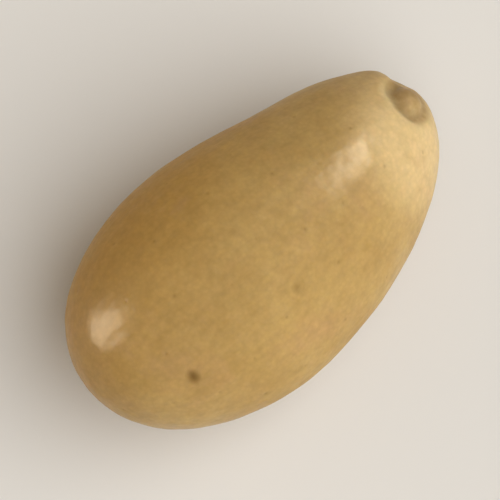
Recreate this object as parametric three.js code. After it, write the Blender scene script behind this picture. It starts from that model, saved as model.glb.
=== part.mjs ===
// A shelled pine nut kernel lying on its broad side.
// Millimetres, +Z up, +X along the kernel towards its narrow end.
import * as THREE from "three";

// Overall size
const LENGTH = 10.7;
const WIDTH = 6.1;
const THICKNESS = 5.6;

// Body: two half ellipsoids that meet at the widest place
const WIDEST_AT = 0.41; // share of the length, from the blunt end
const REACH_BLEND = 0.4; // how softly one half turns into the other
const WAIST = 0.045; // hollow along the slimmer half, share of the radius
const BLUNT_FULLNESS = 0.095; // swelling of the blunt end, share of the radius
const EDGE = 0.015; // three blunt edges along the body, share of the radius

// Middle line, seen from above and from the side
const TIP_SHIFT = 0.34; // narrow end towards the flatter side
const TIP_SHIFT_FROM = 0.35; // where that turn begins, share of the slim half
const BOW = 0.12; // both ends above the middle

// Scar at the narrow end: a button half ringed by a groove, with a rim, one deeper pit and a shoulder
const SCAR_TILT = 22.5; // degrees above the long axis
const SCAR_TURN = 0.3; // degrees towards the flatter side
const BUTTON_RADIUS = 0.3;
const BUTTON_SLOPE = 0.18;
const BUTTON_HEIGHT = 0.13;
const GROOVE_RADIUS = 0.5;
const GROOVE_WIDTH = 0.18;
const GROOVE_DEPTH = 0.09;
const GROOVE_TILT = 30.8; // the groove's middle
const GROOVE_TURN = 2.1;
const GROOVE_NEAR = 0.5; // it keeps its depth this far from its middle
const GROOVE_FAR = 0.95; // and has run out here
const RIM_RADIUS = 0.85;
const RIM_WIDTH = 0.2;
const RIM_HEIGHT = 0.02;
const PIT_TILT = 11.5;
const PIT_TURN = 12.5;
const PIT_RADIUS = 0.3;
const PIT_DEPTH = 0.2;
const SHOULDER_TILT = 14;
const SHOULDER_TURN = 20;
const SHOULDER_RADIUS = 0.6;
const SHOULDER_HEIGHT = 0.1;

// How it lies: narrow end down a little, on a small flat right below its weight
const REST_PITCH = 6.2; // degrees
const FLAT_DEPTH = 0.12;
const FLAT_BLEND = 0.05;

// Mesh
const SEGMENTS = 64;
const RINGS = 72;
const RING_CROWDING = 0.65; // 0 spreads the rings evenly, 1 crowds them at the scar

const BLUNT_REACH = WIDEST_AT * LENGTH;
const TIP_REACH = LENGTH - BLUNT_REACH;
const HALF_AXES = new THREE.Vector3(TIP_REACH, WIDTH / 2, THICKNESS / 2);
const { degToRad, smoothstep, lerp } = THREE.MathUtils;

// Direction from the middle of the body, in degrees above the long axis and to its side
function directionAt(tilt, turn) {
  return new THREE.Vector3(1, 0, 0)
    .applyAxisAngle(new THREE.Vector3(0, -1, 0), degToRad(tilt))
    .applyAxisAngle(new THREE.Vector3(0, 0, 1), degToRad(turn));
}

const SCAR = directionAt(SCAR_TILT, SCAR_TURN);
const PIT = directionAt(PIT_TILT, PIT_TURN);
const SHOULDER = directionAt(SHOULDER_TILT, SHOULDER_TURN);
const GROOVE_MIDDLE = directionAt(GROOVE_TILT, GROOVE_TURN);

// Hump of height 1 at the middle, with the given width
function hump(value, middle, width) {
  return Math.exp(-(((value - middle) / width) ** 2));
}

// Distance over the narrow end between two directions
function distanceOver(n, place) {
  return n.clone().sub(place).multiply(HALF_AXES).length();
}

// Point of the smooth body in the direction of a unit vector
function bodyPoint(n) {
  const reach = lerp(BLUNT_REACH, TIP_REACH, smoothstep(n.x, -REACH_BLEND, REACH_BLEND));
  const forward = Math.max(n.x, 0);
  const backward = Math.min(n.x, 0);
  const waist = 1 - WAIST * Math.sin(Math.PI * forward) ** 2;
  const fullness = 1 + BLUNT_FULLNESS * backward ** 4;
  const edges = 1 - EDGE * n.y * (n.y ** 2 - 3 * n.z ** 2);
  const radius = waist * fullness * edges;
  const turn = TIP_SHIFT * smoothstep(n.x, TIP_SHIFT_FROM, 1);
  return new THREE.Vector3(
    reach * n.x,
    (WIDTH / 2) * radius * n.y + turn,
    (THICKNESS / 2) * radius * n.z + BOW * n.x ** 2,
  );
}

// Outward direction of the smooth body there
function outward(n) {
  const reach = n.x > 0 ? TIP_REACH : BLUNT_REACH;
  return new THREE.Vector3(n.x / reach, (2 * n.y) / WIDTH, (2 * n.z) / THICKNESS).normalize();
}

// Height of the scar's relief over the smooth body
function relief(n) {
  const fromScar = distanceOver(n, SCAR);
  const button = 1 - smoothstep(fromScar, BUTTON_RADIUS - BUTTON_SLOPE, BUTTON_RADIUS + BUTTON_SLOPE);
  const grooved = 1 - smoothstep(distanceOver(n, GROOVE_MIDDLE), GROOVE_NEAR, GROOVE_FAR);
  return (
    BUTTON_HEIGHT * button -
    GROOVE_DEPTH * grooved * hump(fromScar, GROOVE_RADIUS, GROOVE_WIDTH) +
    RIM_HEIGHT * hump(fromScar, RIM_RADIUS, RIM_WIDTH) -
    PIT_DEPTH * hump(distanceOver(n, PIT), 0, PIT_RADIUS) +
    SHOULDER_HEIGHT * hump(distanceOver(n, SHOULDER), 0, SHOULDER_RADIUS)
  );
}

// A unit ball whose rings close in on the scar
function scarredBall() {
  const profile = [];
  for (let ring = 0; ring <= RINGS; ring++) {
    const share = ring / RINGS;
    const angle = Math.PI * lerp(share, share ** 2, RING_CROWDING);
    const onAxis = ring === 0 || ring === RINGS;
    profile.push(new THREE.Vector2(onAxis ? 0 : Math.sin(angle), Math.cos(angle)));
  }
  profile.reverse();
  const ball = new THREE.LatheGeometry(profile, SEGMENTS);
  const up = new THREE.Vector3(0, 1, 0);
  return ball.applyQuaternion(new THREE.Quaternion().setFromUnitVectors(up, SCAR));
}

// Height over the table, with the lowest part pressed flat at 0
function pressedFlat(height) {
  const blend = Math.max(FLAT_BLEND - Math.abs(height), 0);
  return Math.max(height, 0) + blend ** 3 / (6 * FLAT_BLEND ** 2);
}

function kernelGeometry() {
  const geometry = scarredBall();
  const position = geometry.attributes.position;
  const direction = new THREE.Vector3();
  for (let i = 0; i < position.count; i++) {
    direction.fromBufferAttribute(position, i).normalize();
    const point = bodyPoint(direction);
    point.addScaledVector(outward(direction), relief(direction));
    position.setXYZ(i, point.x, point.y, point.z);
  }
  geometry.rotateY(degToRad(REST_PITCH));
  geometry.computeBoundingBox();
  const box = geometry.boundingBox;
  const middle = box.getCenter(new THREE.Vector3());
  geometry.translate(-middle.x, -middle.y, -box.min.z - FLAT_DEPTH);
  for (let i = 0; i < position.count; i++) {
    position.setZ(i, pressedFlat(position.getZ(i)));
  }
  geometry.computeVertexNormals();
  return geometry;
}

function kernel() {
  const skin = new THREE.MeshStandardMaterial({ color: 0xab894a, roughness: 0.45, metalness: 0 });
  const mesh = new THREE.Mesh(kernelGeometry(), skin);
  mesh.name = "kernel";
  return mesh;
}

const pineNut = new THREE.Group();
pineNut.add(kernel());

export default pineNut;
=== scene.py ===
"""A shelled pine nut kernel on a pale table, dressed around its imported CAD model."""

import math

import bpy
from bpy.props import FloatProperty, FloatVectorProperty, IntProperty, PointerProperty
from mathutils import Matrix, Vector


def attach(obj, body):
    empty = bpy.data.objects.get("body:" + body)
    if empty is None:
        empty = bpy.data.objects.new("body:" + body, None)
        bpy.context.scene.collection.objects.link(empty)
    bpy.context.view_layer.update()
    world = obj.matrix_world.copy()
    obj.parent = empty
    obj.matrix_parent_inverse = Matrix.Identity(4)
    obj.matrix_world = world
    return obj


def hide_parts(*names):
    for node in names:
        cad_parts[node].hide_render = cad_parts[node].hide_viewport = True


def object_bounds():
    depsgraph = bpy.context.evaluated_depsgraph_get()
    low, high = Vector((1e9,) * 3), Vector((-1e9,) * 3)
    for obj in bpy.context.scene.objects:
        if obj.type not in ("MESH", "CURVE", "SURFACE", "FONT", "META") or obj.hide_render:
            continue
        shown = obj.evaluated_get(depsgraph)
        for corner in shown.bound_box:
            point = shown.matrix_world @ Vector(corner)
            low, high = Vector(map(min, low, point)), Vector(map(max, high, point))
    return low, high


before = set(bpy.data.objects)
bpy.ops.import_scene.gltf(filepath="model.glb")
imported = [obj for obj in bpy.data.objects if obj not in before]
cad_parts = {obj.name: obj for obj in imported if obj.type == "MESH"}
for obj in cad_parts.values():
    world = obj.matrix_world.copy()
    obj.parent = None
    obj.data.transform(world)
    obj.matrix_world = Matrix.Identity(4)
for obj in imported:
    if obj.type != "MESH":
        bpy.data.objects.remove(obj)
CAD_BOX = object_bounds()

bl_info = {
    "name": "Pine nut kernel",
    "version": (1, 0, 0),
    "blender": (4, 5, 0),
    "location": "View3D > Sidebar > Pine nut",
    "description": "Grows a shelled pine nut kernel and sets up its table, lights and camera",
    "category": "Add Mesh",
}

MM = 0.001
TABLE_REACH = 0.6  # metres from the middle to each edge, far out of the picture


def linear(hex_colour):
    """An sRGB hex colour as linear red, green and blue."""
    channels = [int(hex_colour[i : i + 2], 16) / 255 for i in (1, 3, 5)]
    return tuple(c / 12.92 if c <= 0.04045 else ((c + 0.055) / 1.055) ** 2.4 for c in channels)


def size(name, millimetres, description):
    """A length in metres that a user can change."""
    return FloatProperty(
        name=name, description=description, default=millimetres * MM, min=0.0, precision=6,
        subtype="DISTANCE", unit="LENGTH",
    )


def share(name, default, description):
    """A plain ratio that a user can change."""
    return FloatProperty(
        name=name, description=description, default=default, min=0.0, precision=3, subtype="FACTOR",
    )


def angle(name, degrees, description):
    """An angle that a user can change."""
    return FloatProperty(
        name=name, description=description, default=math.radians(degrees), subtype="ANGLE",
    )


def watts(name, power, description):
    """The power of a lamp that a user can change."""
    return FloatProperty(
        name=name, description=description, default=power, min=0.0, unit="POWER",
    )


def colour(name, hex_colour, description):
    """A colour that a user can change."""
    return FloatVectorProperty(
        name=name, description=description, default=linear(hex_colour), min=0.0, max=1.0, size=3,
        subtype="COLOR",
    )


class KernelShape(bpy.types.PropertyGroup):
    """Sizes of the kernel's body, its scar and its fine relief."""

    length: size("Length", 10.7, "Blunt end to narrow end")
    width: size("Width", 6.1, "Across the broad side")
    thickness: size("Thickness", 5.6, "Across the narrow side")
    widest_at: share("Widest at", 0.41, "Where the body is widest, from the blunt end")
    reach_blend: share("Reach blend", 0.4, "How softly the blunt half turns into the slim half")
    waist: share("Waist", 0.045, "Hollow along the slim half, as a share of the radius")
    blunt_fullness: share("Blunt fullness", 0.095, "Swelling of the blunt end, of the radius")
    edges: share("Edges", 0.015, "Three blunt edges along the body, as a share of the radius")
    tip_shift: size("Tip shift", 0.34, "Narrow end towards the flatter side")
    tip_shift_from: share("Tip shift from", 0.35, "Where that turn begins, along the slim half")
    bow: size("Bow", 0.12, "Both ends above the middle")

    button_radius: size("Button radius", 0.3, "Button of the scar at the narrow end")
    button_slope: size("Button slope", 0.18, "Half the width of the button's flank")
    button_height: size("Button height", 0.13, "Button over the body")
    groove_radius: size("Groove radius", 0.5, "Groove that half rings the button")
    groove_width: size("Groove width", 0.18, "Half the width of the groove")
    groove_depth: size("Groove depth", 0.09, "Groove under the body")
    groove_near: size("Groove near", 0.5, "How far the groove keeps its depth from its middle")
    groove_far: size("Groove far", 0.95, "Where the groove has run out, from its middle")
    rim_radius: size("Rim radius", 0.85, "Low rim round the groove")
    rim_width: size("Rim width", 0.2, "Half the width of the rim")
    rim_height: size("Rim height", 0.02, "Rim over the body")
    pit_radius: size("Pit radius", 0.3, "Deeper pit in the groove, towards the flatter side")
    pit_depth: size("Pit depth", 0.2, "Pit under the body")
    shoulder_radius: size("Shoulder radius", 0.6, "Shoulder of the body beyond the pit")
    shoulder_height: size("Shoulder height", 0.1, "Shoulder over the body")
    wander_size: size("Wander size", 0.4, "Length of the scar's uneven outline")
    wander_height: size("Wander height", 0.16, "How far the scar's outline wanders")

    swell_size: size("Swell size", 3.2, "Length of the soft swells along the body")
    swell_height: size("Swell height", 0.05, "Height of the soft swells")
    dent_size: size("Dent size", 0.9, "Size of the shallow dents in the skin")
    dent_height: size("Dent height", 0.055, "Height of the shallow dents in the skin")
    furrow_size: size("Furrow size", 0.5, "Width of the faint lengthwise furrows")
    furrow_height: size("Furrow height", 0.032, "Height of the faint lengthwise furrows")
    grain_size: size("Grain size", 0.16, "Size of the fine skin grain")
    grain_height: size("Grain height", 0.008, "Height of the fine skin grain")
    pore_gap: size("Pore gap", 1.1, "Least distance between two pores")
    pore_small: size("Smallest pore", 0.03, "Radius of the smallest pore")
    pore_large: size("Largest pore", 0.065, "Radius of the largest pore")
    seed: IntProperty(
        name="Seed", description="Another number places the pores and the soft relief anew",
        default=7, min=0,
    )

    rest_pitch: angle("Rest pitch", 6.2, "Narrow end down, so that the kernel lies on its weight")
    flat_depth: size("Flat depth", 0.12, "How deep the underside is pressed flat")
    flat_blend: size("Flat blend", 0.05, "How softly the flat runs into the round underside")


class KernelColours(bpy.types.PropertyGroup):
    """Colours of the bare kernel, and of the painted warm bounced light on its flatter flank."""

    ivory: colour("Ivory", "#d8bc87", "Palest area, at the narrow end")
    cream: colour("Cream", "#b99a60", "Most of the surface")
    tan: colour("Tan", "#ad8d54", "Deeper coloured areas")
    # Painted warm bounced light and shade: the deeper gold laid along the flatter flank
    gold: colour("Gold", "#b38b46", "The flatter flank")
    rosy: colour("Rosy", "#ba9566", "Areas where a trace of inner skin is left")
    stain: colour("Stain", "#6a4a1a", "Brown of the scar, the pores and the specks")


class StageSettings(bpy.types.PropertyGroup):
    """Table, light and camera."""

    table: colour("Table", "#e2e0dc", "Pale matt table")
    azimuth: angle("Camera azimuth", -41, "Zero looks along +Y")
    elevation: angle("Camera elevation", 77, "Ninety looks straight down")
    lens: FloatProperty(
        name="Lens", description="Focal length in millimetres", default=1200.0, min=50.0, max=1600.0,
        unit="CAMERA",
    )
    picture: size("Picture width", 11.8, "Width that the camera sees at the kernel")
    aside: size("Picture aside", 0.3, "Kernel right of where the camera aims")
    key_power: watts("Key power", 8.2, "Wide softbox in front on the right")
    fill_power: watts("Fill power", 0.95, "Low softbox behind on the left")
    pane_power: watts("Pane power", 1.1, "Reflection beside the narrow end")
    window_power: watts("Window power", 3.0, "Reflection at the blunt end")
    warm: colour("Warm", "#ffe6c2", "Colour of the fill")
    glow: colour("Glow", "#ffeacc", "Colour of the two reflections")
    room: colour("Room", "#f6e6ce", "Colour of the even light from all round")
    room_light: share("Room light", 0.24, "Strength of the even light from all round")


def direction_at(tilt, turn):
    """Direction from the middle of the body, in degrees over its axis and to the flatter side."""
    tilt, turn = math.radians(tilt), math.radians(turn)
    return (math.cos(tilt) * math.cos(turn), math.cos(tilt) * math.sin(turn), math.sin(tilt))


# Where the forms and marks lie on the body
SCAR = direction_at(22.5, 0.3)
GROOVE_MIDDLE = direction_at(30.8, 2.1)
PIT = direction_at(11.5, 12.5)
SHOULDER = direction_at(14, 20)
PALEST = direction_at(30, -17)
DEEPEST = 0.03 * MM  # depth of the deeper speck, where a mark is darkest
SPECKS = (
    # direction, radius, depth
    (direction_at(35, -139.8), 0.22 * MM, DEEPEST),
    (direction_at(56.4, -82.7), 0.17 * MM, 0.016 * MM),
)
PORE_DEPTH = 0.012 * MM
PORE_DENSITY = 4.0 / MM**2  # tried places per square metre, thinned out by the least distance

# Vertices along and across the block that is puffed up into the body
VERTICES_ALONG = 181
VERTICES_ACROSS = 105

# The body as a rule: x, y and z are a direction on the unit ball, the rest are the sizes above
BODY_STEPS = (
    ("blunt_reach", "MULTIPLY", "widest_at", "length"),
    ("tip_reach", "SUBTRACT", "length", "blunt_reach"),
    ("half_width", "DIVIDE", "width", 2.0),
    ("half_thickness", "DIVIDE", "thickness", 2.0),
    ("blend_start", "MULTIPLY", "reach_blend", -1.0),
    ("forward", "MAXIMUM", "x", 0.0),
    ("waist_turn", "MULTIPLY", "forward", math.pi),
    ("waist_sine", "SINE", "waist_turn"),
    ("waist_curve", "MULTIPLY", "waist_sine", "waist_sine"),
    ("waist_cut", "MULTIPLY", "waist", "waist_curve"),
    ("waisted", "SUBTRACT", 1.0, "waist_cut"),
    ("backward", "MINIMUM", "x", 0.0),
    ("fullness_curve", "POWER", "backward", 4.0),
    ("filled", "MULTIPLY_ADD", "blunt_fullness", "fullness_curve", 1.0),
    ("y_square", "MULTIPLY", "y", "y"),
    ("z_square", "MULTIPLY", "z", "z"),
    ("lobes", "MULTIPLY_ADD", "z_square", -3.0, "y_square"),
    ("edge_curve", "MULTIPLY", "y", "lobes"),
    ("edge_cut", "MULTIPLY", "edges", "edge_curve"),
    ("edged", "SUBTRACT", 1.0, "edge_cut"),
    ("waisted_filled", "MULTIPLY", "waisted", "filled"),
    ("radius", "MULTIPLY", "waisted_filled", "edged"),
)


def add_node(tree, kind, inputs=None, **settings):
    """Adds a node with its own properties as settings.

    inputs gives its sockets, by name or number, a value or the output that feeds them.
    """
    node = tree.nodes.new(kind)
    for name, value in settings.items():
        setattr(node, name, value)
    for key, value in (inputs or {}).items():
        if isinstance(value, bpy.types.NodeSocket):
            tree.links.new(value, node.inputs[key])
        else:
            node.inputs[key].default_value = value
    return node


def add_steps(tree, known, kind, steps):
    """Adds a node of the given kind for each step (result, operation, operands) of a formula.

    An operand is a value or the name of a result that is known already.
    """
    for result, operation, *operands in steps:
        inputs = {i: known[o] if isinstance(o, str) else o for i, o in enumerate(operands)}
        node = add_node(tree, kind, inputs, operation=operation, label=result)
        known[result] = node.outputs[0]


def add_hump(tree, known, result, distance, middle, width, height):
    """A hump of that height where distance is at the middle, and none a few widths away."""
    add_steps(tree, known, "ShaderNodeMath", (
        (result + "_off", "SUBTRACT", distance, middle),
        (result + "_share", "DIVIDE", result + "_off", width),
        (result + "_square", "MULTIPLY", result + "_share", result + "_share"),
        (result + "_fade", "MULTIPLY", result + "_square", -1.0),
        (result + "_shape", "EXPONENT", result + "_fade"),
        (result, "MULTIPLY", result + "_shape", height),
    ))


def add_distance(tree, known, result, direction):
    """Distance over the body from the place in the given direction."""
    add_steps(tree, known, "ShaderNodeVectorMath", (
        (result + "_apart", "SUBTRACT", "direction", direction),
        (result + "_real", "MULTIPLY", result + "_apart", "half_axes"),
    ))
    length = add_node(tree, "ShaderNodeVectorMath", {0: known[result + "_real"]}, operation="LENGTH")
    known[result] = length.outputs["Value"]


def add_ripple(tree, known, result, length, height, stretch=1.0, detail=2.0):
    """Soft random relief of the given wavelength and height, drawn out along X by stretch."""
    add_steps(tree, known, "ShaderNodeVectorMath", (
        (result + "_drawn", "MULTIPLY", "place", (1.0 / stretch, 1.0, 1.0)),
    ))
    add_steps(tree, known, "ShaderNodeMath", (
        (result + "_scale", "DIVIDE", 1.0, length),
    ))
    known[result + "_noise"] = add_node(tree, "ShaderNodeTexNoise", {
        "Vector": known[result + "_drawn"], "W": known["seed"],
        "Scale": known[result + "_scale"], "Detail": detail,
    }, noise_dimensions="4D").outputs[0]
    add_steps(tree, known, "ShaderNodeMath", (
        (result + "_even", "SUBTRACT", result + "_noise", 0.5),
        (result, "MULTIPLY", result + "_even", height),
    ))


def tree_with_inputs(name, group):
    """A geometry tree with a named input for each value of a property group, and its sockets."""
    tree = bpy.data.node_groups.new(name, "GeometryNodeTree")
    tree.interface.new_socket("Geometry", in_out="INPUT", socket_type="NodeSocketGeometry")
    tree.interface.new_socket("Geometry", in_out="OUTPUT", socket_type="NodeSocketGeometry")
    names = list(group.__annotations__)
    for key in names:
        kind = "NodeSocketInt" if key == "seed" else "NodeSocketFloat"
        tree.interface.new_socket(key, in_out="INPUT", socket_type=kind)
    tree.interface.new_socket("material", in_out="INPUT", socket_type="NodeSocketMaterial")
    entry = add_node(tree, "NodeGroupInput")
    known = {key: entry.outputs[key] for key in names + ["material"]}
    known["place"] = add_node(tree, "GeometryNodeInputPosition").outputs[0]
    return tree, known


def add_body(tree, known):
    """The smooth body: a finely cut block, puffed into a ball whose points the rule moves."""
    block = add_node(tree, "GeometryNodeMeshCube", {
        "Size": (2.0, 2.0, 2.0), "Vertices X": VERTICES_ALONG,
        "Vertices Y": VERTICES_ACROSS, "Vertices Z": VERTICES_ACROSS,
    })
    # The tangent keeps the cells of the block alike in size on the ball
    add_steps(tree, known, "ShaderNodeVectorMath", (
        ("eased", "MULTIPLY", "place", (math.pi / 4,) * 3),
        ("spread", "TANGENT", "eased"),
        ("on_ball", "NORMALIZE", "spread"),
    ))
    capture = add_node(tree, "GeometryNodeCaptureAttribute")
    capture.capture_items.new("VECTOR", "direction")
    tree.links.new(block.outputs["Mesh"], capture.inputs["Geometry"])
    tree.links.new(known["on_ball"], capture.inputs["direction"])
    known["direction"] = capture.outputs["direction"]
    axes = add_node(tree, "ShaderNodeSeparateXYZ", {0: known["direction"]})
    known.update(x=axes.outputs["X"], y=axes.outputs["Y"], z=axes.outputs["Z"])
    add_steps(tree, known, "ShaderNodeMath", BODY_STEPS)
    known["reach"] = add_node(tree, "ShaderNodeMapRange", {
        "Value": known["x"], "From Min": known["blend_start"], "From Max": known["reach_blend"],
        "To Min": known["blunt_reach"], "To Max": known["tip_reach"],
    }, interpolation_type="SMOOTHSTEP").outputs["Result"]
    known["turn"] = add_node(tree, "ShaderNodeMapRange", {
        "Value": known["x"], "From Min": known["tip_shift_from"], "From Max": 1.0,
        "To Min": 0.0, "To Max": known["tip_shift"],
    }, interpolation_type="SMOOTHSTEP").outputs["Result"]
    add_steps(tree, known, "ShaderNodeMath", (
        ("body_x", "MULTIPLY", "reach", "x"),
        ("wide", "MULTIPLY", "half_width", "radius"),
        ("body_y", "MULTIPLY_ADD", "wide", "y", "turn"),
        ("thick", "MULTIPLY", "half_thickness", "radius"),
        ("round_z", "MULTIPLY", "thick", "z"),
        ("x_square", "MULTIPLY", "x", "x"),
        ("body_z", "MULTIPLY_ADD", "bow", "x_square", "round_z"),
    ))
    known["half_axes"] = add_node(tree, "ShaderNodeCombineXYZ", {
        "X": known["tip_reach"], "Y": known["half_width"], "Z": known["half_thickness"],
    }).outputs[0]
    on_body = add_node(tree, "ShaderNodeCombineXYZ", {
        "X": known["body_x"], "Y": known["body_y"], "Z": known["body_z"],
    })
    moved = add_node(tree, "GeometryNodeSetPosition", {
        "Geometry": capture.outputs["Geometry"], "Position": on_body.outputs[0],
    })
    return moved.outputs["Geometry"]


def add_scar(tree, known):
    """Height of the scar: a button half ringed by a groove, a rim, a deeper pit and a shoulder."""
    add_distance(tree, known, "from_scar_middle", SCAR)
    add_distance(tree, known, "from_pit_middle", PIT)
    add_distance(tree, known, "from_shoulder", SHOULDER)
    add_distance(tree, known, "along_groove", GROOVE_MIDDLE)
    add_ripple(tree, known, "wander", "wander_size", "wander_height")
    add_steps(tree, known, "ShaderNodeMath", (
        ("from_scar", "ADD", "from_scar_middle", "wander"),
        ("from_pit", "ADD", "from_pit_middle", "wander"),
        ("button_top", "SUBTRACT", "button_radius", "button_slope"),
        ("button_foot", "ADD", "button_radius", "button_slope"),
    ))
    known["button"] = add_node(tree, "ShaderNodeMapRange", {
        "Value": known["from_scar"], "From Min": known["button_top"],
        "From Max": known["button_foot"], "To Min": known["button_height"], "To Max": 0.0,
    }, interpolation_type="SMOOTHSTEP").outputs["Result"]
    known["inside_scar"] = add_node(tree, "ShaderNodeMapRange", {
        "Value": known["from_scar"], "From Min": known["groove_radius"],
        "From Max": known["rim_radius"], "To Min": 1.0, "To Max": 0.0,
    }, interpolation_type="SMOOTHSTEP").outputs["Result"]
    known["groove_here"] = add_node(tree, "ShaderNodeMapRange", {
        "Value": known["along_groove"], "From Min": known["groove_near"],
        "From Max": known["groove_far"], "To Min": known["groove_depth"], "To Max": 0.0,
    }, interpolation_type="SMOOTHSTEP").outputs["Result"]
    add_hump(tree, known, "groove", "from_scar", "groove_radius", "groove_width", "groove_here")
    add_hump(tree, known, "rim", "from_scar", "rim_radius", "rim_width", "rim_height")
    add_hump(tree, known, "pit", "from_pit", 0.0, "pit_radius", "pit_depth")
    add_hump(tree, known, "shoulder", "from_shoulder", 0.0, "shoulder_radius", "shoulder_height")
    add_steps(tree, known, "ShaderNodeMath", (
        ("raised", "ADD", "button", "rim"),
        ("shouldered", "ADD", "raised", "shoulder"),
        ("grooved", "SUBTRACT", "shouldered", "groove"),
        ("scar_height", "SUBTRACT", "grooved", "pit"),
    ))


def add_pores(tree, known, body):
    """Depth of the pores, scattered over the body by a seeded draw, and of the dark specks."""
    spots = add_node(tree, "GeometryNodeDistributePointsOnFaces", {
        "Mesh": body, "Distance Min": known["pore_gap"], "Density Max": PORE_DENSITY,
        "Seed": known["seed"],
    }, distribute_method="POISSON").outputs["Points"]
    nearest = add_node(tree, "GeometryNodeSampleNearest", {"Geometry": spots}, domain="POINT")
    # Sockets 2 and 3 are the least and the greatest number, and output 1 the one drawn
    draw = add_node(tree, "FunctionNodeRandomValue", {
        2: known["pore_small"], 3: known["pore_large"], "Seed": known["seed"],
    }, data_type="FLOAT")
    centre = add_node(tree, "GeometryNodeSampleIndex", {
        "Geometry": spots, "Value": known["place"], "Index": nearest.outputs["Index"],
    }, data_type="FLOAT_VECTOR", domain="POINT")
    radius = add_node(tree, "GeometryNodeSampleIndex", {
        "Geometry": spots, "Value": draw.outputs[1], "Index": nearest.outputs["Index"],
    }, data_type="FLOAT", domain="POINT")
    apart = add_node(tree, "ShaderNodeVectorMath", {
        0: known["place"], 1: centre.outputs[0],
    }, operation="DISTANCE")
    known["from_pore"] = apart.outputs["Value"]
    known["pore_radius"] = radius.outputs[0]
    add_hump(tree, known, "pore", "from_pore", 0.0, "pore_radius", 1.0)
    add_steps(tree, known, "ShaderNodeMath", (("mark_depth", "MULTIPLY", "pore", PORE_DEPTH),))
    for number, (direction, reach, depth) in enumerate(SPECKS):
        speck = f"speck_{number}"
        add_distance(tree, known, "from_" + speck, direction)
        add_hump(tree, known, speck, "from_" + speck, 0.0, reach, depth)
        add_steps(tree, known, "ShaderNodeMath", (("mark_depth", "ADD", "mark_depth", speck),))


def add_rest(tree, known, shape):
    """Lays the kernel down: turned onto its weight, centred, and pressed flat where it touches."""
    turn = add_node(tree, "ShaderNodeCombineXYZ", {"Y": known["rest_pitch"]})
    laid = add_node(tree, "GeometryNodeTransform", {
        "Geometry": shape, "Rotation": turn.outputs[0],
    }).outputs["Geometry"]
    box = add_node(tree, "GeometryNodeBoundBox", {"Geometry": laid})
    known.update(low=box.outputs["Min"], high=box.outputs["Max"])
    add_steps(tree, known, "ShaderNodeVectorMath", (
        ("ends", "ADD", "low", "high"),
        ("middle", "MULTIPLY", "ends", (0.5, 0.5, 0.5)),
    ))
    axes = add_node(tree, "ShaderNodeSeparateXYZ", {0: known["place"]})
    centre = add_node(tree, "ShaderNodeSeparateXYZ", {0: known["middle"]})
    lowest = add_node(tree, "ShaderNodeSeparateXYZ", {0: known["low"]})
    known.update(
        laid_x=axes.outputs["X"], laid_y=axes.outputs["Y"], laid_z=axes.outputs["Z"],
        centre_x=centre.outputs["X"], centre_y=centre.outputs["Y"], lowest_z=lowest.outputs["Z"],
    )
    add_steps(tree, known, "ShaderNodeMath", (
        ("rest_x", "SUBTRACT", "laid_x", "centre_x"),
        ("rest_y", "SUBTRACT", "laid_y", "centre_y"),
        ("over_lowest", "SUBTRACT", "laid_z", "lowest_z"),
        ("over_flat", "SUBTRACT", "over_lowest", "flat_depth"),
        ("rest_z", "SMOOTH_MAX", "over_flat", 0.0, "flat_blend"),
    ))
    rest = add_node(tree, "ShaderNodeCombineXYZ", {
        "X": known["rest_x"], "Y": known["rest_y"], "Z": known["rest_z"],
    })
    down = add_node(tree, "GeometryNodeSetPosition", {
        "Geometry": laid, "Position": rest.outputs[0],
    })
    return down.outputs["Geometry"]


def kernel_tree():
    """The whole kernel as a geometry tree: body, scar, pores and ripples, then laid down."""
    tree, known = tree_with_inputs("Pine kernel", KernelShape)
    body = add_body(tree, known)
    add_scar(tree, known)
    add_pores(tree, known, body)
    add_distance(tree, known, "from_palest", PALEST)
    add_ripple(tree, known, "swell", "swell_size", "swell_height")
    add_ripple(tree, known, "dent", "dent_size", "dent_height", stretch=1.6)
    add_ripple(tree, known, "furrow", "furrow_size", "furrow_height", stretch=7.0)
    add_ripple(tree, known, "grain", "grain_size", "grain_height", detail=3.0)
    add_steps(tree, known, "ShaderNodeMath", (
        ("swelled", "ADD", "scar_height", "swell"),
        ("dented", "ADD", "swelled", "dent"),
        ("furrowed", "ADD", "dented", "furrow"),
        ("grained", "ADD", "furrowed", "grain"),
        ("relief", "SUBTRACT", "grained", "mark_depth"),
    ))
    normal = add_node(tree, "GeometryNodeInputNormal")
    push = add_node(tree, "ShaderNodeVectorMath", {
        0: normal.outputs[0], "Scale": known["relief"],
    }, operation="SCALE")
    shape = add_node(tree, "GeometryNodeSetPosition", {
        "Geometry": body, "Offset": push.outputs[0],
    }).outputs["Geometry"]
    # What the material reads: how far the palest place is, and how much of the scar, of a pore
    # and of a dark mark is here
    stored = {
        "from_palest": "from_palest", "scar": "inside_scar", "pore": "pore", "mark": "mark_depth",
    }
    for name, value in stored.items():
        shape = add_node(tree, "GeometryNodeStoreNamedAttribute", {
            "Geometry": shape, "Name": name, "Value": known[value],
        }, data_type="FLOAT", domain="POINT").outputs["Geometry"]
    shape = add_rest(tree, known, shape)
    smooth = add_node(tree, "GeometryNodeSetShadeSmooth", {
        "Geometry": shape, "Shade Smooth": True,
    })
    whole = add_node(tree, "GeometryNodeRealizeInstances", {
        "Geometry": smooth.outputs["Geometry"],
    })
    skin = add_node(tree, "GeometryNodeSetMaterial", {
        "Geometry": whole.outputs["Geometry"], "Material": known["material"],
    })
    add_node(tree, "NodeGroupOutput", {"Geometry": skin.outputs["Geometry"]})
    return tree


# Sizes of the skin's patterns
CLOUD = 1.7 * MM
TRACE = 2.1 * MM
STREAK = 0.15 * MM
ALONG_STREAK = 0.12  # the pattern's scale along the kernel, so streaks are eight times as long
FLECK = 0.25 * MM
CELL = 0.12 * MM  # really 0.08 mm, and drawn coarser so that the cells show
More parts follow.
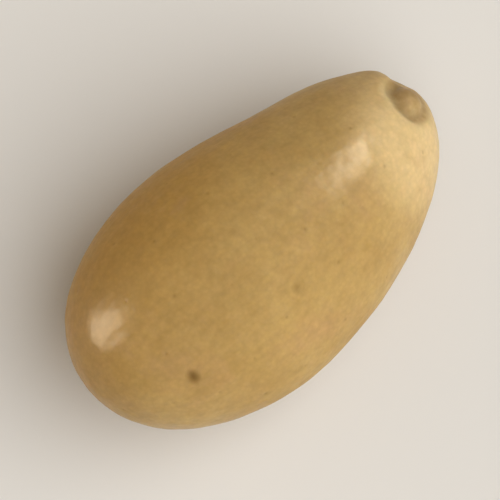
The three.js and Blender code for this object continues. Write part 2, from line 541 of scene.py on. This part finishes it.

# Where the tones and the painted warm bounced light change
TO_PAINTED_BOUNCE = (-0.41, 0.91, 0.0)  # from the middle line to the flatter flank and the blunt end
PAINTED_BOUNCE_WIDTH = 3.0 * MM
PALE_NEAR = 0.5 * MM  # from the palest place, where the ivory starts to fade
PALE_FAR = 2.7 * MM  # and where it is gone

# Where the oily film changes
FULL_ASIDE = 0.8 * MM  # from the middle line, where it starts to thin out
THIN_ASIDE = 2.0 * MM  # and where it is thin
THIN_MIDDLE = 0.55 * MM  # middle of the thin part, from the kernel's towards the blunt end
THIN_ALONG = 1.6 * MM  # from there, where it starts to thicken both ways
FULL_ALONG = 3.0 * MM  # and where it is full

# In the Mix nodes below, sockets 0, 6 and 7 are the share and the two colours, and output 2 the mix


def add_tones(tree, known, paint):
    """Ground tones: cloudy cream and tan, a painted warm bounced light that gilds the flatter flank,
    an ivory narrow end, rosy traces.
    """
    # Cloudy areas, where the oily tissue lies deeper
    known["clouds"] = add_node(tree, "ShaderNodeTexNoise", {
        "Vector": known["place"], "Scale": 1 / CLOUD, "Detail": 5.0, "Roughness": 0.6,
    }).outputs[0]
    cloudy = add_node(tree, "ShaderNodeMapRange", {
        "Value": known["clouds"], "From Min": 0.3, "From Max": 0.72,
    }, interpolation_type="SMOOTHSTEP")
    clouded = add_node(tree, "ShaderNodeMix", {
        0: cloudy.outputs[0], 6: paint["cream"], 7: paint["tan"],
    }, data_type="RGBA")
    # Painted warm bounced light: a deeper gold along the flatter flank
    across = add_node(tree, "ShaderNodeVectorMath", {
        0: known["place"], 1: TO_PAINTED_BOUNCE,
    }, operation="DOT_PRODUCT")
    flank = add_node(tree, "ShaderNodeMapRange", {
        "Value": across.outputs["Value"], "From Min": 0.0, "From Max": PAINTED_BOUNCE_WIDTH, "To Max": 0.8,
    }, interpolation_type="SMOOTHSTEP")
    painted_bounce_mix = add_node(tree, "ShaderNodeMix", {
        0: flank.outputs[0], 6: clouded.outputs[2], 7: paint["gold"],
    }, data_type="RGBA")
    # Ivory at the narrow end, palest just beside the scar
    pale = add_node(tree, "ShaderNodeMapRange", {
        "Value": known["from_palest"], "From Min": PALE_NEAR, "From Max": PALE_FAR,
        "To Min": 1.0, "To Max": 0.0,
    }, interpolation_type="SMOOTHERSTEP")
    paled = add_node(tree, "ShaderNodeMix", {
        0: pale.outputs[0], 6: painted_bounce_mix.outputs[2], 7: paint["ivory"],
    }, data_type="RGBA")
    # Rosy areas, where a trace of the inner skin is left
    traces = add_node(tree, "ShaderNodeTexNoise", {
        "Vector": known["place"], "Scale": 1 / TRACE, "Detail": 5.0, "Roughness": 0.65,
        "Distortion": 0.4,
    })
    traced = add_node(tree, "ShaderNodeMapRange", {
        "Value": traces.outputs[0], "From Min": 0.5, "From Max": 0.75, "To Max": 0.6,
    }, interpolation_type="SMOOTHSTEP")
    blushed = add_node(tree, "ShaderNodeMix", {
        0: traced.outputs[0], 6: paled.outputs[2], 7: paint["rosy"],
    }, data_type="RGBA")
    known["tones"] = blushed.outputs[2]


def add_texture(tree, known):
    """Fine light and dark over the tones: lengthwise streaks, flecks and the tissue's cells."""
    drawn = add_node(tree, "ShaderNodeMapping", {
        "Vector": known["place"], "Scale": (ALONG_STREAK, 1.0, 1.0),
    })
    known["streaks"] = add_node(tree, "ShaderNodeTexNoise", {
        "Vector": drawn.outputs[0], "Scale": 1 / STREAK, "Detail": 2.0, "Roughness": 0.6,
    }).outputs[0]
    known["streaked"] = add_node(tree, "ShaderNodeMapRange", {
        "Value": known["streaks"], "From Min": 0.3, "From Max": 0.7,
        "To Min": 0.97, "To Max": 1.03,
    }).outputs[0]
    known["flecks"] = add_node(tree, "ShaderNodeTexNoise", {
        "Vector": known["place"], "Scale": 1 / FLECK, "Detail": 3.0, "Roughness": 0.6,
    }).outputs[0]
    known["flecked"] = add_node(tree, "ShaderNodeMapRange", {
        "Value": known["flecks"], "From Min": 0.3, "From Max": 0.7,
        "To Min": 0.93, "To Max": 1.07,
    }).outputs[0]
    known["cells"] = add_node(tree, "ShaderNodeTexVoronoi", {
        "Vector": known["place"], "Scale": 1 / CELL,
    }, feature="F1").outputs["Distance"]
    known["celled"] = add_node(tree, "ShaderNodeMapRange", {
        "Value": known["cells"], "From Min": 0.0, "From Max": 0.9, "To Min": 1.04, "To Max": 0.94,
    }).outputs[0]
    add_steps(tree, known, "ShaderNodeMath", (
        ("grained", "MULTIPLY", "streaked", "celled"),
        ("texture", "MULTIPLY", "grained", "flecked"),
    ))
    textured = add_node(tree, "ShaderNodeVectorMath", {
        0: known["tones"], "Scale": known["texture"],
    }, operation="SCALE")
    known["textured"] = textured.outputs[0]


def add_stains(tree, known, paint):
    """Brown of the scar, patchy as the flecks are, and of the pores and specks."""
    known["patchy"] = add_node(tree, "ShaderNodeMapRange", {
        "Value": known["flecks"], "From Min": 0.3, "From Max": 0.7,
        "To Min": 0.75, "To Max": 1.25,
    }).outputs[0]
    add_steps(tree, known, "ShaderNodeMath", (("uneven", "MULTIPLY", "scar", "patchy"),))
    browned = add_node(tree, "ShaderNodeMapRange", {
        "Value": known["uneven"], "From Min": 0.0, "From Max": 1.4, "To Max": 0.65,
    }, interpolation_type="SMOOTHSTEP")
    scarred = add_node(tree, "ShaderNodeMix", {
        0: browned.outputs[0], 6: known["textured"], 7: paint["stain"],
    }, data_type="RGBA")
    dotted = add_node(tree, "ShaderNodeMapRange", {
        "Value": known["pore"], "From Min": 0.2, "From Max": 1.0, "To Max": 0.25,
    })
    pored = add_node(tree, "ShaderNodeMix", {
        0: dotted.outputs[0], 6: scarred.outputs[2], 7: paint["stain"],
    }, data_type="RGBA")
    specked = add_node(tree, "ShaderNodeMapRange", {
        "Value": known["mark"], "From Min": PORE_DEPTH / 2, "From Max": DEEPEST, "To Max": 0.8,
    })
    marked = add_node(tree, "ShaderNodeMix", {
        0: specked.outputs[0], 6: pored.outputs[2], 7: paint["stain"],
    }, data_type="RGBA")
    known["skin"] = marked.outputs[2]


def add_film(tree, known):
    """Oily film, which gives the soft reflections: thickest towards both ends."""
    # Hardly any on the dry scar
    known["off_scar"] = add_node(tree, "ShaderNodeMapRange", {
        "Value": known["scar"], "From Min": 0.1, "From Max": 0.9, "To Min": 0.3, "To Max": 0.03,
    }).outputs[0]
    # Less along the flatter flank and round the middle, where the kernel is rubbed most
    axes = add_node(tree, "ShaderNodeSeparateXYZ", {0: known["place"]})
    known["along"] = axes.outputs["X"]
    known["off_flank"] = add_node(tree, "ShaderNodeMapRange", {
        "Value": axes.outputs["Y"], "From Min": FULL_ASIDE, "From Max": THIN_ASIDE,
        "To Min": 1.0, "To Max": 0.2,
    }, interpolation_type="SMOOTHSTEP").outputs[0]
    add_steps(tree, known, "ShaderNodeMath", (
        ("from_thin", "ADD", "along", THIN_MIDDLE),
        ("either_way", "ABSOLUTE", "from_thin"),
    ))
    known["off_middle"] = add_node(tree, "ShaderNodeMapRange", {
        "Value": known["either_way"], "From Min": THIN_ALONG, "From Max": FULL_ALONG,
        "To Min": 0.25, "To Max": 1.0,
    }, interpolation_type="SMOOTHSTEP").outputs[0]
    add_steps(tree, known, "ShaderNodeMath", (
        ("off_both", "MULTIPLY", "off_scar", "off_flank"),
        ("film", "MULTIPLY", "off_both", "off_middle"),
    ))


def endosperm_material(colours):
    """Bare pine endosperm, shelled and rubbed clean of its skin.

    The oily tissue lets light in a little way, so it looks waxy, with satin reflections.
    """
    material = bpy.data.materials.new("Waxy pine endosperm")
    material.use_nodes = True
    tree = material.node_tree
    tree.nodes.clear()
    paint = {name: (*getattr(colours, name), 1.0) for name in KernelColours.__annotations__}
    known = {"place": add_node(tree, "ShaderNodeTexCoord").outputs["Object"]}
    for name in ("from_palest", "scar", "pore", "mark"):
        stored = add_node(tree, "ShaderNodeAttribute", attribute_name=name)
        known[name] = stored.outputs["Fac"]
    add_tones(tree, known, paint)
    add_texture(tree, known)
    add_stains(tree, known, paint)
    add_film(tree, known)
    # Satin, and a little duller in the cloudy areas
    satin = add_node(tree, "ShaderNodeMapRange", {
        "Value": known["clouds"], "From Min": 0.3, "From Max": 0.7, "To Min": 0.45, "To Max": 0.6,
    })
    add_steps(tree, known, "ShaderNodeMath", (("bumps", "SUBTRACT", "cells", "streaks"),))
    bump = add_node(tree, "ShaderNodeBump", {
        "Strength": 0.35, "Distance": 0.006 * MM, "Height": known["bumps"],
    })
    surface = add_node(tree, "ShaderNodeBsdfPrincipled", {
        "Base Color": known["skin"], "Roughness": satin.outputs[0],
        "IOR": 1.46, "Specular IOR Level": 0.12, "Normal": bump.outputs[0],
        "Subsurface Weight": 0.45, "Subsurface Radius": (1.0, 0.55, 0.22),
        "Subsurface Scale": 0.9 * MM,
        "Coat Weight": known["film"], "Coat Roughness": 0.22,
    })
    add_node(tree, "ShaderNodeOutputMaterial", {"Surface": surface.outputs[0]})
    return material


def table_material(table):
    """Matt painted board: even and pale, with a roughness that hides reflections."""
    material = bpy.data.materials.new("Matt painted board")
    material.use_nodes = True
    surface = material.node_tree.nodes["Principled BSDF"]
    surface.inputs["Base Color"].default_value = (*table, 1.0)
    surface.inputs["Roughness"].default_value = 0.85
    surface.inputs["Specular IOR Level"].default_value = 0.2
    return material


def mesh_from_tree(name, tree, values):
    """A plain mesh object from a geometry tree with its inputs set, and the modifier gone."""
    carrier = bpy.data.objects.new(name + "_tree", bpy.data.meshes.new(name + "_tree"))
    bpy.context.scene.collection.objects.link(carrier)
    modifier = carrier.modifiers.new("Tree", "NODES")
    modifier.node_group = tree
    for item in tree.interface.items_tree:
        if item.in_out == "INPUT" and item.name in values:
            modifier[item.identifier] = values[item.name]
    evaluated = carrier.evaluated_get(bpy.context.evaluated_depsgraph_get())
    mesh = bpy.data.meshes.new_from_object(evaluated)
    bpy.data.objects.remove(carrier)
    mesh.name = name
    piece = bpy.data.objects.new(name, mesh)
    bpy.context.scene.collection.objects.link(piece)
    return piece


class PINENUT_OT_kernel(bpy.types.Operator):
    """Grow the kernel: one bare seed with its scar, pores and waxy skin"""

    bl_idname = "pinenut.kernel"
    bl_label = "Grow kernel"

    def execute(self, context):
        shape = context.scene.pinenut_shape
        values = {key: getattr(shape, key) for key in KernelShape.__annotations__}
        values["material"] = endosperm_material(context.scene.pinenut_colours)
        kernel = mesh_from_tree("kernel_skin", kernel_tree(), values)
        if not kernel.data.polygons:
            raise RuntimeError("the kernel's tree gave no faces")
        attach(kernel, "root")
        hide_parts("kernel")
        return {"FINISHED"}


def direction_from(azimuth, elevation):
    """Unit vector from the kernel to something at that azimuth from +X and that height."""
    level = math.cos(elevation)
    return Vector((math.cos(azimuth) * level, math.sin(azimuth) * level, math.sin(elevation)))


def aim(thing, place, target):
    """Puts a light or camera at a place and points it at the target."""
    thing.location = place
    thing.rotation_euler = (target - place).to_track_quat("-Z", "Y").to_euler()


def softbox(name, target, place, span, power, tint=(1.0, 1.0, 1.0), matt=True, gloss=True):
    """An oval light aimed at the target, brightest in its middle and faded out at its edge.

    place is its azimuth and elevation in degrees and its distance, and span its width and height.
    matt tells whether it lights the matt part of a surface, and gloss whether it is reflected.
    """
    azimuth, elevation, distance = place
    width, height = span
    lamp = bpy.data.lights.new(name, "AREA")
    lamp.shape = "ELLIPSE"
    lamp.size = width
    lamp.size_y = height
    lamp.energy = power
    lamp.color = tint
    lamp.use_nodes = True
    tree = lamp.node_tree
    tree.nodes.clear()
    on_lamp = add_node(tree, "ShaderNodeTexCoord")
    scaled = add_node(tree, "ShaderNodeVectorMath", {
        0: on_lamp.outputs["Object"], 1: (2 / width, 2 / height, 0.0),
    }, operation="MULTIPLY")
    from_middle = add_node(tree, "ShaderNodeVectorMath", {0: scaled.outputs[0]}, operation="LENGTH")
    fade = add_node(tree, "ShaderNodeMapRange", {
        "Value": from_middle.outputs["Value"], "From Min": 0.4, "From Max": 1.0,
        "To Min": 1.0, "To Max": 0.0,
    }, interpolation_type="SMOOTHSTEP")
    shine = add_node(tree, "ShaderNodeEmission", {"Strength": fade.outputs[0]})
    add_node(tree, "ShaderNodeOutputLight", {"Surface": shine.outputs[0]})
    thing = bpy.data.objects.new(name, lamp)
    thing.visible_diffuse = matt
    thing.visible_glossy = gloss
    bpy.context.scene.collection.objects.link(thing)
    towards = direction_from(math.radians(azimuth), math.radians(elevation))
    aim(thing, target + distance * towards, target)


def lay_table(context, colour_of_table):
    """A flat board round the kernel."""
    board = bpy.data.meshes.new("table")
    signs = ((-1, -1), (1, -1), (1, 1), (-1, 1))
    edge = [(TABLE_REACH * x, TABLE_REACH * y, 0.0) for x, y in signs]
    board.from_pydata(edge, [], [(0, 1, 2, 3)])
    board.materials.append(table_material(colour_of_table))
    table = bpy.data.objects.new("table", board)
    context.scene.collection.objects.link(table)


def light_stage(context, settings, target):
    """A key and a fill for the matt part, two lamps that are only reflected, and the room."""
    softbox(
        "key", target, place=(-68, 50, 0.5), span=(1.3, 1.1), power=settings.key_power,
        gloss=False,
    )
    softbox(
        "fill", target, place=(125, 12, 0.5), span=(0.9, 0.4), power=settings.fill_power,
        tint=settings.warm, gloss=False,
    )
    softbox(
        "pane", target, place=(-0.8, 39.8, 0.3), span=(0.2, 0.04), power=settings.pane_power,
        tint=settings.glow, matt=False,
    )
    softbox(
        "window", target, place=(144.3, 18.5, 0.3), span=(0.2, 0.36), power=settings.window_power,
        tint=settings.glow, matt=False,
    )
    world = bpy.data.worlds.new("Pale room")
    context.scene.world = world
    world.use_nodes = True
    background = world.node_tree.nodes["Background"]
    background.inputs["Color"].default_value = (*settings.room, 1.0)
    background.inputs["Strength"].default_value = settings.room_light
    # The room is in no reflection
    world.cycles_visibility.glossy = False


def place_camera(context, settings, target):
    """A long lens that looks at the kernel from the set angle, and shows the set width there."""
    lens = bpy.data.cameras.new("camera")
    lens.lens = settings.lens
    camera = bpy.data.objects.new("camera", lens)
    context.scene.collection.objects.link(camera)
    back = direction_from(settings.azimuth - math.pi / 2, settings.elevation)
    distance = settings.picture * settings.lens / lens.sensor_width
    sideways = Vector((math.cos(settings.azimuth), math.sin(settings.azimuth), 0.0))
    aimed = target - settings.aside * sideways
    # Nothing in the picture is ten times nearer or farther than the kernel
    lens.clip_start = distance / 10
    lens.clip_end = distance * 10
    aim(camera, aimed + distance * back, aimed)
    context.scene.camera = camera
    # Colours come out as they are set
    context.scene.view_settings.view_transform = "Standard"


class PINENUT_OT_stage(bpy.types.Operator):
    """Set up the pale table, the soft lights, the room light and the camera"""

    bl_idname = "pinenut.stage"
    bl_label = "Set up stage"

    def execute(self, context):
        settings = context.scene.pinenut_stage
        low, high = (Vector(corner) for corner in CAD_BOX)
        target = (low + high) / 2
        lay_table(context, settings.table)
        light_stage(context, settings, target)
        place_camera(context, settings, target)
        return {"FINISHED"}


class PINENUT_PT_panel(bpy.types.Panel):
    """Sizes, colours and steps of the pine nut kernel"""

    bl_idname = "PINENUT_PT_panel"
    bl_label = "Pine nut kernel"
    bl_space_type = "VIEW_3D"
    bl_region_type = "UI"
    bl_category = "Pine nut"

    def draw(self, context):
        layout = self.layout
        for operator in OPERATORS:
            layout.operator(operator.bl_idname)
        for name, group in GROUPS:
            box = layout.box()
            for key in group.__annotations__:
                box.prop(getattr(context.scene, name), key)


GROUPS = (
    ("pinenut_shape", KernelShape),
    ("pinenut_colours", KernelColours),
    ("pinenut_stage", StageSettings),
)
OPERATORS = (PINENUT_OT_kernel, PINENUT_OT_stage)


def register():
    for name, group in GROUPS:
        bpy.utils.register_class(group)
        setattr(bpy.types.Scene, name, PointerProperty(type=group))
    for panel_or_operator in (*OPERATORS, PINENUT_PT_panel):
        bpy.utils.register_class(panel_or_operator)


def unregister():
    for panel_or_operator in (PINENUT_PT_panel, *OPERATORS):
        bpy.utils.unregister_class(panel_or_operator)
    for name, group in GROUPS:
        delattr(bpy.types.Scene, name)
        bpy.utils.unregister_class(group)


def main():
    register()
    bpy.ops.pinenut.kernel()
    bpy.ops.pinenut.stage()


if __name__ == "__main__":
    main()
